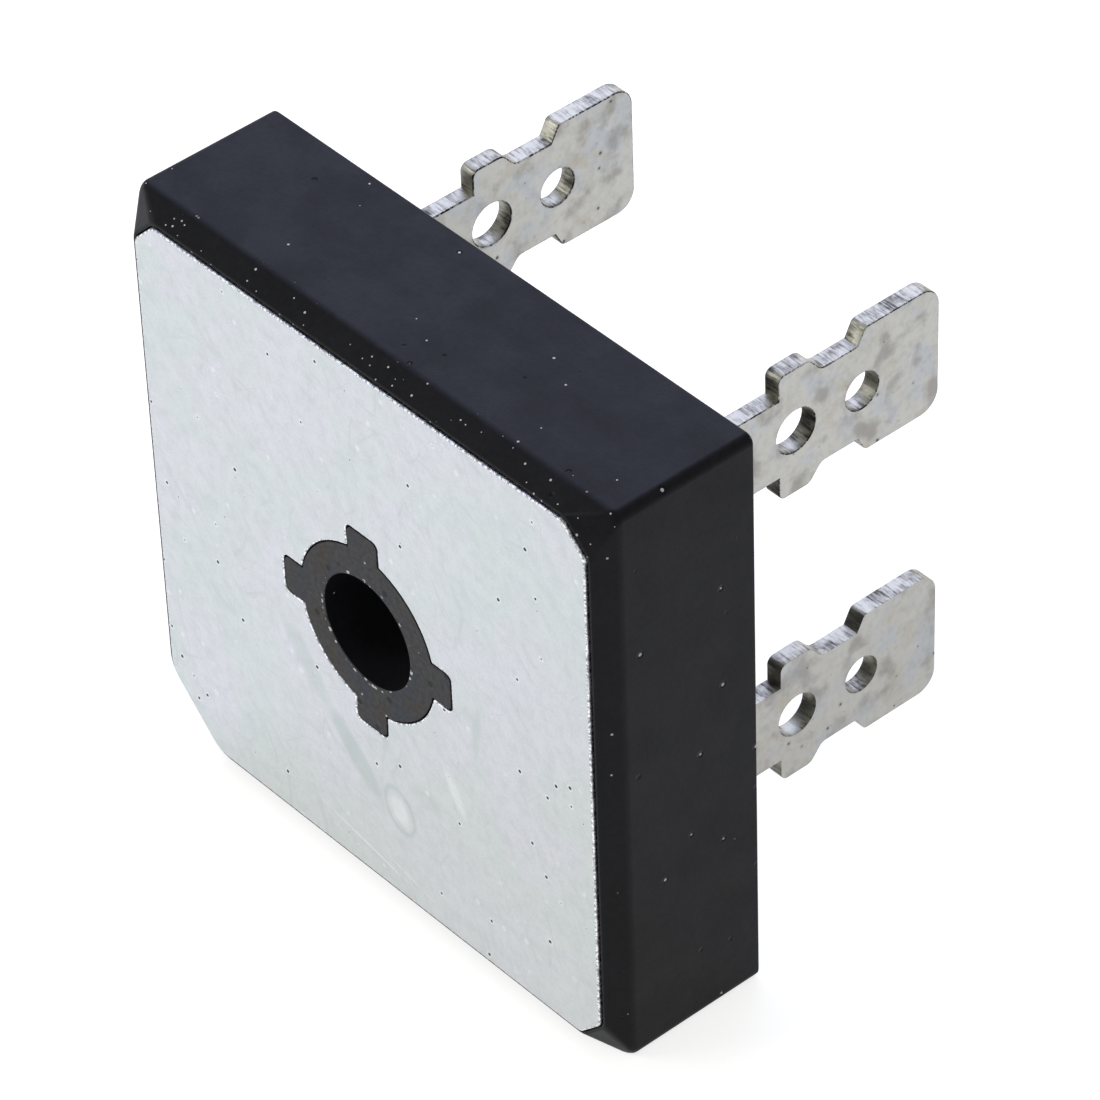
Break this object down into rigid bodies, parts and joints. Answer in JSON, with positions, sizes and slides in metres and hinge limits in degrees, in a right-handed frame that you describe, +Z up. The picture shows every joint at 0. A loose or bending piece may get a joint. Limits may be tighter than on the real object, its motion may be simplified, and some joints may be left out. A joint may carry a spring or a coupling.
{
  "type": "bridge rectifier",
  "caption": "Square potted bridge rectifier with a metal base plate, a keyed corner, a central mounting hole and push-on blade terminals.",
  "frame": {"origin": "where the axis of the mounting hole meets the outer face of the base plate", "axes": "+Y along the mounting hole from the base plate towards the terminals, +Z up with the module standing on a narrow side, +X to the right seen from the base plate"},
  "size_m": [0.0286, 0.0207, 0.0286],
  "materials": {
    "case_plastic": "fine moulded matt",
    "plate_metal": "fine scratched satin",
    "insulator": "matt",
    "resin": "cast",
    "tinned_copper": "dull tin plate on copper",
    "silicon": "smooth",
    "solder": "dull"
  },
  "bodies": {
    "root": {"case": "case_plastic", "base_plate": "plate_metal", "insulating_sheet": "insulator", "potting": "resin", "ac_terminal_1": "tinned_copper", "ac_terminal_2": "tinned_copper", "negative_terminal": "tinned_copper", "positive_terminal": "tinned_copper", "diode_1": "silicon", "diode_2": "silicon", "diode_3": "silicon", "diode_4": "silicon", "diode_1_lower_solder": "solder", "diode_2_lower_solder": "solder", "diode_3_lower_solder": "solder", "diode_4_lower_solder": "solder", "diode_1_upper_solder": "solder", "diode_2_upper_solder": "solder", "diode_3_upper_solder": "solder", "diode_4_upper_solder": "solder"}
  },
  "joints": []
}
